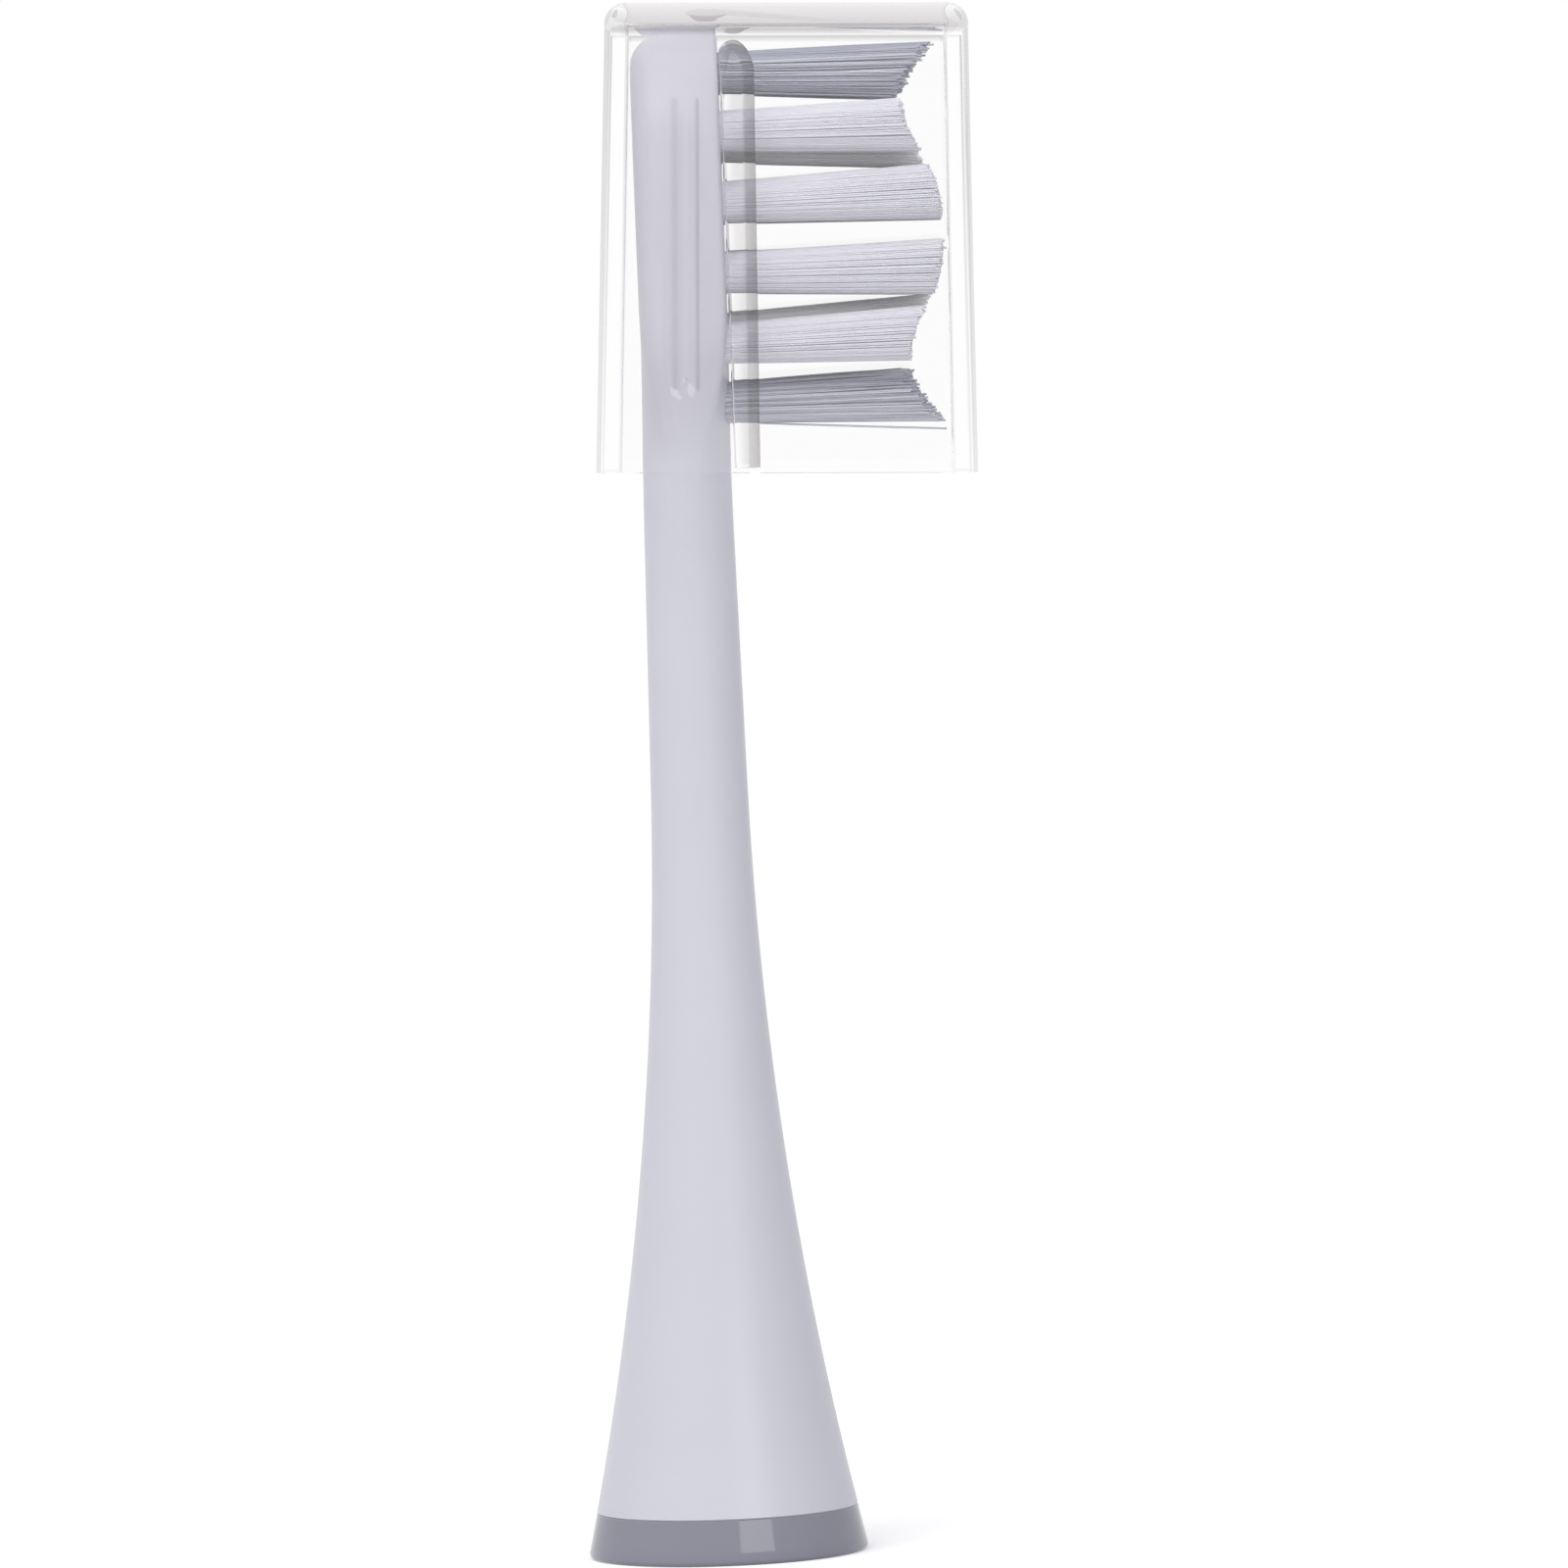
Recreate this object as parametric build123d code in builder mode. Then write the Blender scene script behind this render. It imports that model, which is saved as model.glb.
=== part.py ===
from build123d import *
import os
from math import cos, radians, sin, sqrt, tan

# Replacement head for a sonic toothbrush, with its clear travel cap pushed on.
# Millimetres. Z runs up the neck from the standing face of the base ring,
# X is the way the bristles point, and Y runs across the head.

# Outer form of ring, skirt and neck: a flare turned about Z, which runs out into a slim neck
base_radius = 7.81
flare_height = 42.35
flare_radius = 2.69
neck_length = 14.65
neck_radius = 2.478
neck_draft = 0.83

# Base ring, its spigot and the opening for the handle
ring_height = 2.5
ring_edge_chamfer = 0.25
ring_wall = 0.9
spigot_height = 2.0
spigot_headroom = 0.2
ring_fit = 0.05

# Hollow of the skirt and the drive socket pushed up into it
skirt_wall = 1.5
shoulder_height = 10.0
socket_mouth = 4.0
socket_length = 16.5
socket_wall = 0.85
socket_fit = 0.04
socket_headroom = 0.2
flange_thickness = 1.0
flange_gap = 0.1

# Way for the handle's shaft: a round guide, then a D section with a leaf spring
guide_radius = 2.25
guide_chamfer = 0.3
drive_radius = 2.0
drive_flat = 1.45
drive_depth = 9.5
clip_thickness = 0.3
clip_width = 2.4
clip_length = 7.4
clip_bow = 0.3
clip_gap = 0.04
clip_lip = 0.2
clip_tuck = 0.7

# Brush plate and the blend that widens the neck into it
blend_height = 12.0
blend_stations = 8
blend_flat_angle = 5.0
plate_width = 12.4
plate_front = 2.58
plate_back = -2.25
plate_draft = 3.0
plate_back_round = 1.6
plate_front_chamfer = 0.3

# Tufts: eight-sided holes in the plate, bundles that splay towards a waved trim
hole_half = 1.12
hole_depth = 3.0
hole_edge_margin = 0.78
hole_end_margin = 1.32
tuft_fit = 0.04
trim_length = 12.05
trim_shoulder = 4.9
trim_shoulder_drop = 1.37
trim_end_drop = 0.05
trim_end_reach = 0.8
trim_spare = 0.6
splay_angle = 2.5
row_gap = 0.29
edge_row_step = 0.37
end_row_step = 0.31
field_rise = 3.8

# Metal anchors that hold each folded tuft in its hole
anchor_height = 1.6
anchor_thickness = 0.3
anchor_bite = 0.15
anchor_lift = 0.5
anchor_gap = 0.02

# Clear travel cap
cap_height = 26.0
cap_wall = 1.35
cap_top_wall = 1.4
cap_draft = 1.2
cap_lean = 2.1
cap_round = 1.0
cap_inner_round = 0.4
cap_rear_gap = 1.4
cap_front_gap = 0.2
cap_side_gap = 0.75
cap_seat_gap = 0.12
rail_gap = 0.1
rail_tuft_gap = 0.28
rail_width_rim = 1.4
rail_width_top = 1.95
rib_length = 16.6
rib_width = 1.25
rib_set_forward = 0.35
rib_rim_distance = 4.6
rib_clearance = 0.03
dimple_radius = 1.3
dimple_floor = 0.6
dimple_depth = 0.45
dimple_set_back = 0.47

# Places that follow from the sizes above
neck_top = flare_height + neck_length
neck_pull = flare_radius - neck_length / 2 * tan(radians(neck_draft))
blend_top = neck_top + blend_height
field_height = blend_top + field_rise
plate_thickness = plate_front - plate_back
plate_half = plate_width / 2
plate_taper = plate_thickness * tan(radians(plate_draft))

tuft_half = hole_half - tuft_fit
octagon_cut = 2 - sqrt(2)
splay = tan(radians(splay_angle))
centre_pitch = 2 * (tuft_half + trim_length * splay) + row_gap
edge_pitch = centre_pitch + edge_row_step
end_row = 2.5 * centre_pitch + end_row_step
edge_column = plate_half - hole_edge_margin - hole_half
centre_column = edge_column / 3
plate_top = field_height + end_row + hole_half + hole_end_margin

spigot_top = ring_height + spigot_height
hollow_start = spigot_top + spigot_headroom
socket_radius = guide_radius + socket_wall
socket_top = socket_mouth + socket_length

cap_rear = plate_back - cap_rear_gap
cap_front = plate_front + trim_length + cap_front_gap
cap_width = cap_front - cap_rear + 2 * cap_wall
cap_depth = plate_width + 2 * (cap_side_gap + cap_wall)
cap_middle = (cap_front + cap_rear) / 2
cap_inner_height = cap_height - cap_top_wall
lean_sin = sin(radians(cap_lean))
lean_cos = cos(radians(cap_lean))
seat_offset = (plate_front - cap_middle - cap_inner_height * lean_sin) / lean_cos
cap_rim = plate_top + cap_seat_gap - cap_inner_height * lean_cos + seat_offset * lean_sin

flare = TangentArc(
    (flare_radius, flare_height),
    (base_radius, 0),
    tangent=(sin(radians(neck_draft)), -cos(radians(neck_draft))),
)


def form_radius(height):
    """Radius of the flare's outside at a height."""
    return flare.arc_center.X - sqrt(flare.radius**2 - (height - flare.arc_center.Y) ** 2)


hollow_radius = form_radius(shoulder_height) - skirt_wall
spigot_radius = form_radius(ring_height) - skirt_wall
ring_bore = spigot_radius - ring_wall

field_plane = Plane(origin=(plate_front, 0, field_height), x_dir=(0, 1, 0), z_dir=(1, 0, 0))
cap_plane = Plane(
    origin=(cap_middle, 0, cap_rim),
    x_dir=(lean_cos, 0, -lean_sin),
    z_dir=(lean_sin, 0, lean_cos),
)
tuft_groups = {
    "edge_tuft": GridLocations(2 * edge_column, edge_pitch, 2, 4),
    "centre_tuft": GridLocations(2 * centre_column, centre_pitch, 2, 4),
    "end_tuft": GridLocations(2 * centre_column, 2 * end_row, 2, 2),
}
tuft_spots = [
    (spot.position.X, spot.position.Y)
    for group in tuft_groups.values()
    for spot in group.locations
]

os.makedirs("parts", exist_ok=True)

# Flat oval plate with moulding draft, rounded along its back
plate_shoulder = plate_top - plate_half
plate_foot = blend_top - 2 * plate_back_round
with BuildPart() as plate:
    with BuildSketch(Plane(origin=(plate_front, 0, 0), x_dir=(0, 1, 0), z_dir=(1, 0, 0))):
        with BuildLine():
            Polyline(
                (-plate_half, plate_shoulder),
                (-plate_half, plate_foot),
                (plate_half, plate_foot),
                (plate_half, plate_shoulder),
            )
            ThreePointArc((plate_half, plate_shoulder), (0, plate_top), (-plate_half, plate_shoulder))
        make_face()
    extrude(amount=-plate_thickness, taper=plate_draft)
    fillet(plate.faces().sort_by(Axis.X)[0].edges(), radius=plate_back_round)
    chamfer(plate.faces().sort_by(Axis.X)[-1].edges(), length=plate_front_chamfer)
    split(bisect_by=Plane.XY.offset(blend_top), keep=Keep.TOP)

# Sections of the blend, from the round neck to the plate's own section
neck_arcs = []
for side in range(4):
    flat_start = 90 * side - blend_flat_angle
    corner_start = 90 * side + blend_flat_angle
    neck_arcs.append(CenterArc((0, 0, neck_top), neck_radius, flat_start, 2 * blend_flat_angle))
    neck_arcs.append(CenterArc((0, 0, neck_top), neck_radius, corner_start, 90 - 2 * blend_flat_angle))
blend_sections = [Face(Wire(neck_arcs))]
for station in range(1, blend_stations):
    rise = station / blend_stations
    swell = rise * rise * (3 - 2 * rise)
    front = neck_radius + swell * (plate_front - neck_radius)
    back = -neck_radius + swell * (plate_back + neck_radius)
    half_front = neck_radius + swell * (plate_half - neck_radius)
    half_back = half_front - swell * plate_taper
    front_round = neck_radius + swell * (plate_front_chamfer - neck_radius)
    back_round = neck_radius + swell * (plate_back_round - neck_radius)
    with BuildSketch(Plane.XY.offset(neck_top + rise * blend_height)) as section_sketch:
        with BuildLine():
            FilletPolyline(
                (front, -half_front),
                (front, half_front),
                (back, half_back),
                (back, -half_back),
                radius=[front_round, front_round, back_round, back_round],
                close=True,
            )
        make_face()
    blend_sections.append(section_sketch.sketch.face())
blend_sections.append(plate.faces().sort_by(Axis.Z)[0])

# White brush body: hollow skirt, neck, blend and plate in one moulding
with BuildPart() as brush_body:
    with BuildSketch(Plane.XZ):
        with BuildLine():
            add(flare)
            Bezier(
                (flare_radius, flare_height),
                (neck_pull, flare_height + neck_length / 2),
                (neck_radius, neck_top),
            )
            Polyline((neck_radius, neck_top), (0, neck_top), (0, 0), (base_radius, 0))
        make_face()
    revolve(axis=Axis.Z)
    split(bisect_by=Plane.XY.offset(ring_height), keep=Keep.TOP)
    loft(sections=blend_sections, ruled=True)
    add(plate.part)
    with BuildSketch(field_plane) as hole_sketch:
        with Locations(*tuft_spots):
            Rectangle(2 * hole_half, 2 * hole_half)
        chamfer(hole_sketch.vertices(), length=hole_half * octagon_cut)
    extrude(amount=-hole_depth, mode=Mode.SUBTRACT)
    with BuildSketch(Plane.XZ):
        with BuildLine():
            Polyline(
                (0, ring_height),
                (spigot_radius + ring_fit, ring_height),
                (spigot_radius + ring_fit, hollow_start),
                (hollow_radius, hollow_start),
                (hollow_radius, shoulder_height),
                (socket_radius + socket_fit, shoulder_height),
                (socket_radius + socket_fit, socket_top + socket_headroom),
                (0, socket_top + socket_headroom),
                close=True,
            )
        make_face()
    revolve(axis=Axis.Z, mode=Mode.SUBTRACT)
brush_body.part.label = "brush_body"
export_step(brush_body.part, "parts/brush_body.step")

# Grey base ring, pressed into the skirt by its spigot
with BuildPart() as base_ring:
    with BuildSketch(Plane.XZ):
        with BuildLine():
            Spline(
                (base_radius, 0),
                (form_radius(ring_height / 2), ring_height / 2),
                (form_radius(ring_height), ring_height),
            )
            Polyline(
                (form_radius(ring_height), ring_height),
                (spigot_radius, ring_height),
                (spigot_radius, spigot_top),
                (ring_bore, spigot_top),
                (ring_bore, 0),
                (base_radius, 0),
            )
        make_face()
    revolve(axis=Axis.Z)
    foot_edges = base_ring.faces().sort_by(Axis.Z)[0].edges()
    chamfer(foot_edges.sort_by(SortBy.RADIUS)[-1], length=ring_edge_chamfer)
base_ring.part.label = "base_ring"
export_step(base_ring.part, "parts/base_ring.step")

# Drive socket: a tube with a flange under the skirt's shoulder
clip_seat = drive_flat + clip_lip
clip_floor = clip_seat + clip_thickness + 2 * clip_gap
clip_middle = shoulder_height + drive_depth / 2
with BuildPart() as drive_socket:
    with BuildSketch(Plane.XY.offset(socket_mouth)):
        Circle(socket_radius)
    extrude(amount=socket_length)
    with BuildSketch(Plane.XY.offset(shoulder_height)):
        Circle(hollow_radius - flange_gap)
    extrude(amount=-flange_thickness)
    with BuildSketch(Plane.XY.offset(socket_mouth)):
        Circle(guide_radius)
    extrude(amount=shoulder_height - socket_mouth, mode=Mode.SUBTRACT)
    with BuildSketch(Plane.XY.offset(shoulder_height)):
        Circle(drive_radius)
        with Locations((drive_flat, 0)):
            Rectangle(drive_radius, 2 * drive_radius, align=(Align.MIN, Align.CENTER), mode=Mode.SUBTRACT)
    extrude(amount=drive_depth, mode=Mode.SUBTRACT)
    with Locations((clip_floor, 0, clip_middle)):
        Box(
            clip_floor - clip_seat,
            clip_width + 2 * clip_gap,
            clip_length + 2 * clip_gap,
            align=(Align.MAX, Align.CENTER, Align.CENTER),
            mode=Mode.SUBTRACT,
        )
        Box(
            clip_floor,
            clip_width + 2 * clip_gap,
            clip_length - 2 * clip_tuck,
            align=(Align.MAX, Align.CENTER, Align.CENTER),
            mode=Mode.SUBTRACT,
        )
    mouth_edges = drive_socket.faces().sort_by(Axis.Z)[0].edges()
    chamfer(mouth_edges.sort_by(SortBy.RADIUS)[0], length=guide_chamfer)
drive_socket.part.label = "drive_socket"
export_step(drive_socket.part, "parts/drive_socket.step")

# Steel leaf, tucked behind the lips of the flat and bowed towards the shaft
with BuildPart() as spring_clip:
    with BuildSketch(Plane.XZ):
        with BuildLine():
            outside = clip_floor - clip_gap
            inside = outside - clip_thickness
            low = clip_middle - clip_length / 2
            high = clip_middle + clip_length / 2
            bow_low = low + clip_tuck
            bow_high = high - clip_tuck
            Line((outside, low), (outside, bow_low))
            ThreePointArc((outside, bow_low), (outside - clip_bow, clip_middle), (outside, bow_high))
            Polyline((outside, bow_high), (outside, high), (inside, high), (inside, bow_high))
            ThreePointArc((inside, bow_high), (inside - clip_bow, clip_middle), (inside, bow_low))
            Polyline((inside, bow_low), (inside, low), (outside, low))
        make_face()
    extrude(amount=clip_width / 2, both=True)
spring_clip.part.label = "spring_clip"
export_step(spring_clip.part, "parts/spring_clip.step")

# Everything beyond the waved trim of the bristles
with BuildPart() as trimmings:
    with BuildSketch(Plane.XZ):
        with BuildLine():
            crest = plate_front + trim_length
            reach = end_row + hole_half + trim_end_reach
            beyond = crest + 2 * trim_spare
            low = (crest - trim_end_drop, field_height - reach)
            high = (crest - trim_end_drop, field_height + reach)
            wave = ThreePointArc(
                (crest - trim_shoulder_drop, field_height - trim_shoulder),
                (crest, field_height),
                (crest - trim_shoulder_drop, field_height + trim_shoulder),
            )
            TangentArc(wave @ 0, low, tangent=-(wave % 0))
            TangentArc(wave @ 1, high, tangent=wave % 1)
            Polyline(high, (beyond, field_height + reach), (beyond, field_height - reach), low)
        make_face()
    extrude(amount=plate_width, both=True)

# Tufts: each one folded round its anchor, splaying along the head and trimmed
anchor_depth = hole_depth - anchor_lift - anchor_height / 2
tuft_root = plate_front - hole_depth + tuft_fit
tuft_tip = plate_front + trim_length + trim_spare
root_half = tuft_half - (plate_front - tuft_root) * splay
tip_half = tuft_half + (tuft_tip - plate_front) * splay
for name, group in tuft_groups.items():
    for number, spot in enumerate(group.locations, start=1):
        across = spot.position.X
        middle = field_height + spot.position.Y
        with BuildPart() as tuft:
            with BuildSketch(Plane.XZ.offset(-across)):
                with BuildLine():
                    Polyline(
                        (tuft_root, middle - root_half),
                        (tuft_tip, middle - tip_half),
                        (tuft_tip, middle + tip_half),
                        (tuft_root, middle + root_half),
                        close=True,
                    )
                make_face()
            extrude(amount=tuft_half, both=True)
            chamfer(tuft.edges().sort_by(SortBy.LENGTH)[-4:], length=tuft_half * octagon_cut)
            with Locations((plate_front - anchor_depth, across, middle)):
                Box(
                    anchor_height + 2 * anchor_gap,
                    anchor_thickness + 2 * anchor_gap,
                    2 * hole_half,
                    mode=Mode.SUBTRACT,
                )
            add(trimmings.part, mode=Mode.SUBTRACT)
        tuft.part.label = f"{name}_{number}"
        export_step(tuft.part, f"parts/{name}_{number}.step")

# Small metal plates, one across each hole, bitten into its wall
with BuildPart() as tuft_anchors:
    with BuildSketch(field_plane.offset(-anchor_depth)):
        with Locations(*tuft_spots):
            Rectangle(anchor_thickness, 2 * (hole_half + anchor_bite))
    extrude(amount=anchor_height / 2, both=True)
tuft_anchors.part.label = "tuft_anchors"
export_step(tuft_anchors.part, "parts/tuft_anchors.step")

# Room inside the cap, with its rails and ribs left standing on the side walls
rail_face = plate_front + rail_gap
rail_inner = edge_column + hole_half + rail_tuft_gap
rail_end = cap_rim + cap_height
rib_height = cap_rim + rib_rim_distance + rib_length / 2
rib_place = (plate_front + plate_back) / 2 + rib_set_forward
with BuildPart() as cap_room:
    with BuildSketch(cap_plane):
        Rectangle(cap_width - 2 * cap_wall, cap_depth - 2 * cap_wall)
    extrude(amount=cap_inner_height, taper=cap_draft)
    room_mouth = cap_room.faces().sort_by(Axis.Z)[0].edges()
    room_ceiling = cap_room.faces().sort_by(Axis.Z)[-1].edges()
    fillet(cap_room.edges() - room_mouth - room_ceiling, radius=cap_inner_round)
    for side in (-1, 1):
        with BuildSketch(Plane.XZ.offset(side * rail_inner)):
            with BuildLine():
                Polyline(
                    (rail_face, cap_rim - cap_wall),
                    (rail_face + rail_width_rim, cap_rim - cap_wall),
                    (rail_face + rail_width_top, rail_end),
                    (rail_face, rail_end),
                    close=True,
                )
            make_face()
        extrude(amount=side * cap_depth, mode=Mode.SUBTRACT)
        with BuildSketch(Plane.XZ.offset(side * (plate_half + rib_clearance))):
            with Locations((rib_place, rib_height)):
                SlotOverall(rib_length, rib_width, rotation=90 - cap_lean)
        extrude(amount=side * cap_depth, mode=Mode.SUBTRACT)

# Clear cap, open below, leaning a little forward on the brush
with BuildPart() as travel_cap:
    with BuildSketch(cap_plane):
        Rectangle(cap_width, cap_depth)
    extrude(amount=cap_height, taper=cap_draft)
    rim = travel_cap.faces().sort_by(Axis.Z)[0].edges()
    fillet(travel_cap.edges() - rim, radius=cap_round)
    add(cap_room.part, mode=Mode.SUBTRACT)
    dimple_offset = (plate_front - dimple_set_back - cap_middle - cap_height * lean_sin) / lean_cos
    with Locations(cap_plane.offset(cap_height)):
        with Locations((dimple_offset, 0, 0)):
            Cone(
                dimple_floor,
                dimple_radius,
                dimple_depth,
                align=(Align.CENTER, Align.CENTER, Align.MAX),
                mode=Mode.SUBTRACT,
            )
travel_cap.part.label = "travel_cap"
export_step(travel_cap.part, "parts/travel_cap.step")
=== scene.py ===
# %% [markdown]
# This lesson dresses a replacement head for an electric toothbrush. The head is a white
# moulding with a flared skirt, a slim neck and a brush plate. A grey ring closes its foot,
# twenty tufts of nylon stand in the plate, and a clear travel cap is pushed over them.
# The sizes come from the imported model, which is loaded first and never moved.

from itertools import product
from math import cos, exp, pi, radians, sin, sqrt, tan

import bmesh
import bpy
import numpy as np
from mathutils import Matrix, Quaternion, Vector


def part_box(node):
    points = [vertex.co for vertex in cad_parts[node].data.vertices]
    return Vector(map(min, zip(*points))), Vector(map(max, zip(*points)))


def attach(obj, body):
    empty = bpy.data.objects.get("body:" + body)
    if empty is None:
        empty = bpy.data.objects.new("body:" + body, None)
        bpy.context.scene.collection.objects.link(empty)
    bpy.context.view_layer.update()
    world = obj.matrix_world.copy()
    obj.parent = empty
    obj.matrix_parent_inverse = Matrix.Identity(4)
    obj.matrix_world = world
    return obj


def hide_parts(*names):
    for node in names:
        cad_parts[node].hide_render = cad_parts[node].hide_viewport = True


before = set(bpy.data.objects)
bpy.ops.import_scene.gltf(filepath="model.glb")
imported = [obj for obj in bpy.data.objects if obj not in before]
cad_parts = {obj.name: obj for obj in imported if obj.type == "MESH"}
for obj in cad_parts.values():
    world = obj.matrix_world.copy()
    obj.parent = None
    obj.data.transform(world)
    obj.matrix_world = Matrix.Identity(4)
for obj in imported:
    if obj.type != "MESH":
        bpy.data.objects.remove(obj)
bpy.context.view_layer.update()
mm = 0.001
print("nodes:", len(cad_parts))

# %% [markdown]
# Most pieces are made as by hand: a primitive is added, and its faces, edges and points are
# picked in edit mode and then extruded, scaled or bevelled. An operator acts on whatever is
# selected, so every step starts by clearing the selection and picking by place.

# %% Helpers for picking and finishing
TINY = 0.002 * mm


def start_piece():
    """Leaves nothing selected, so that the next primitive stands alone."""
    bpy.ops.object.select_all(action="DESELECT")


def pick(piece, kind, wanted):
    """In edit mode, selects the vertices, edges or faces that pass a test."""
    bpy.ops.mesh.select_all(action="DESELECT")
    bpy.ops.mesh.select_mode(type=kind)
    mesh = bmesh.from_edit_mesh(piece.data)
    elements = {"VERT": mesh.verts, "EDGE": mesh.edges, "FACE": mesh.faces}[kind]
    chosen = [element for element in elements if wanted(element)]
    for element in chosen:
        element.select_set(True)
    mesh.select_flush_mode()
    bmesh.update_edit_mesh(piece.data)
    return len(chosen)


def flat_at(axis, place):
    """A test for elements whose points all lie at one place along an axis."""
    def test(element):
        corners = [element] if isinstance(element, bmesh.types.BMVert) else element.verts
        return all(abs(corner.co[axis] - place) < TINY for corner in corners)
    return test


def apply_modifier(piece, kind, **settings):
    """Adds a modifier with these settings and applies it."""
    bpy.context.view_layer.objects.active = piece
    modifier = piece.modifiers.new(kind.title(), kind)
    for setting, value in settings.items():
        setattr(modifier, setting, value)
    bpy.ops.object.modifier_apply(modifier=modifier.name)


def close_mesh(piece):
    """In edit mode, merges doubles and turns the faces outwards."""
    bpy.ops.mesh.select_all(action="SELECT")
    bpy.ops.mesh.remove_doubles(threshold=TINY)
    bpy.ops.mesh.normals_make_consistent(inside=False)
    bpy.ops.object.mode_set(mode="OBJECT")


def settle(piece, angle):
    """Puts the place of a piece into its mesh and shades it smooth up to an angle in degrees."""
    start_piece()
    piece.select_set(True)
    bpy.context.view_layer.objects.active = piece
    bpy.ops.object.transform_apply(location=True, rotation=True, scale=True)
    bpy.ops.object.shade_smooth_by_angle(angle=radians(angle))
    print(piece.name, "faces:", len(piece.data.polygons))


def dress(piece, body, slot, material, *nodes):
    """Gives a piece its material and its body, and hides the CAD nodes that it stands for."""
    piece.data.materials.clear()
    piece.data.materials.append(material)
    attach(piece, body)
    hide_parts(*nodes)


# %% [markdown]
# The camera comes first, because every later look at the object needs it. The photograph was
# taken from the side with a long lens, a little above the middle, and the brush leans in the
# picture, so the camera is rolled by that lean instead of tilting the brush.

# %% Camera
camera_target = Vector((4.7, 0, 42.53)) * mm
camera_place = Vector((4.7, -660, 66)) * mm
frame_width = 86.82 * mm
picture_lean = 2.24
sensor_width = 36

camera_data = bpy.data.cameras.new("camera")
camera_data.sensor_width = sensor_width
camera_data.lens = sensor_width * (camera_target - camera_place).length / frame_width
camera_data.clip_start = 0.01
camera = bpy.data.objects.new("camera", camera_data)
bpy.context.scene.collection.objects.link(camera)
camera.location = camera_place
aim = (camera_target - camera_place).to_track_quat("-Z", "Y")
camera.rotation_mode = "QUATERNION"
camera.rotation_quaternion = aim @ Quaternion((0, 0, 1), radians(-picture_lean))
bpy.context.scene.camera = camera
print("lens:", round(camera_data.lens, 1))

# %% [markdown]
# The skirt and the neck are turned forms. The flare is one arc that starts along the neck and
# swings out to the foot, so its radius follows from two points and the neck's draft.

# %% Outline of the flare
base_radius = 7.81 * mm
flare_radius = 2.69 * mm
flare_height = 42.35 * mm
neck_radius = 2.478 * mm
neck_top = 57 * mm
neck_draft = radians(0.83)

flare_run = Vector((base_radius - flare_radius, -flare_height))
flare_normal = Vector((cos(neck_draft), sin(neck_draft)))
flare_size = flare_run.length_squared / (2 * flare_run.dot(flare_normal))
flare_centre = Vector((flare_radius, flare_height)) + flare_size * flare_normal


def form_radius(height):
    """Outer radius of skirt and neck at a height."""
    if height <= flare_height:
        return flare_centre.x - sqrt(flare_size**2 - (height - flare_centre.y) ** 2)
    rise = (height - flare_height) / (neck_top - flare_height)
    pull = flare_radius - (neck_top - flare_height) / 2 * tan(neck_draft)
    return (1 - rise) ** 2 * flare_radius + 2 * rise * (1 - rise) * pull + rise**2 * neck_radius


print("flare arc in mm:", round(flare_size / mm, 1))

# %% [markdown]
# A turned piece could be drawn as an outline and spun. Here a circle is extruded upwards and
# scaled from point to point instead, which leaves one clean ring of quads for every point.

# %% Turning helper
ROUND_STEPS = 96


def turn(name, outline):
    """A ring of the outline's first radius, extruded and scaled through (radius, height) points."""
    start_piece()
    radius, height = outline[0]
    bpy.ops.mesh.primitive_circle_add(vertices=ROUND_STEPS, radius=radius)
    piece = bpy.context.object
    piece.name = name
    bpy.ops.object.mode_set(mode="EDIT")
    bpy.ops.mesh.select_all(action="SELECT")
    bpy.ops.transform.translate(value=(0, 0, height))
    for next_radius, next_height in outline[1:]:
        bpy.ops.mesh.extrude_region_move(TRANSFORM_OT_translate={"value": (0, 0, next_height - height)})
        ratio = next_radius / radius
        bpy.ops.transform.resize(value=(ratio, ratio, 1), center_override=(0, 0, next_height))
        radius, height = next_radius, next_height
    return piece


# %% [markdown]
# The white body is one hollow moulding. Turning starts inside, at the closed end of the hole for
# the drive socket, comes down through the hollow of the skirt and goes up the outside to the
# top of the neck. A hair of a round at the foot leaves a fine line above the ring.

# %% Skirt and neck
ring_top = 2.5 * mm
spigot_hole = 5.8 * mm
spigot_end = 4.7 * mm
hollow_radius = 4.274 * mm
shoulder_height = 10 * mm
socket_hole = 3.14 * mm
socket_end = 20.7 * mm
foot_round = 0.06 * mm
flare_steps = 30
neck_steps = 6

inside_outline = [
    (socket_hole, socket_end),
    (socket_hole, shoulder_height),
    (hollow_radius, shoulder_height),
    (hollow_radius, spigot_end),
    (spigot_hole, spigot_end),
    (spigot_hole, ring_top),
    (form_radius(ring_top) - foot_round, ring_top),
]
flare_start = ring_top + foot_round
flare_levels = np.linspace(flare_start, flare_height, flare_steps)
neck_levels = np.linspace(flare_height, neck_top, neck_steps + 1)[1:]
outside_outline = [(form_radius(level), float(level)) for level in [*flare_levels, *neck_levels]]
brush_body = turn("white_brush_body", inside_outline + outside_outline)
pick(brush_body, "EDGE", flat_at(2, socket_end))
bpy.ops.mesh.edge_face_add()
print("outline points:", len(inside_outline + outside_outline))

# %% [markdown]
# The plate is a flat arch. Its front outline is half of a circle whose two ends are drawn down,
# filled and pulled back through the plate. The back is a little smaller, as mould draft needs,
# and its edge is rounded off while the front edge is only broken.

# %% Brush plate
blend_top = 69 * mm
plate_front = 2.58 * mm
plate_back = -2.25 * mm
plate_half = 6.2 * mm
plate_draft = radians(3)
back_round = 1.6 * mm
back_steps = 6
front_round = 0.3 * mm
front_steps = 3
arch_steps = 64
plate_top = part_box("brush_body")[1].z + front_round * tan(plate_draft)

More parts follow.
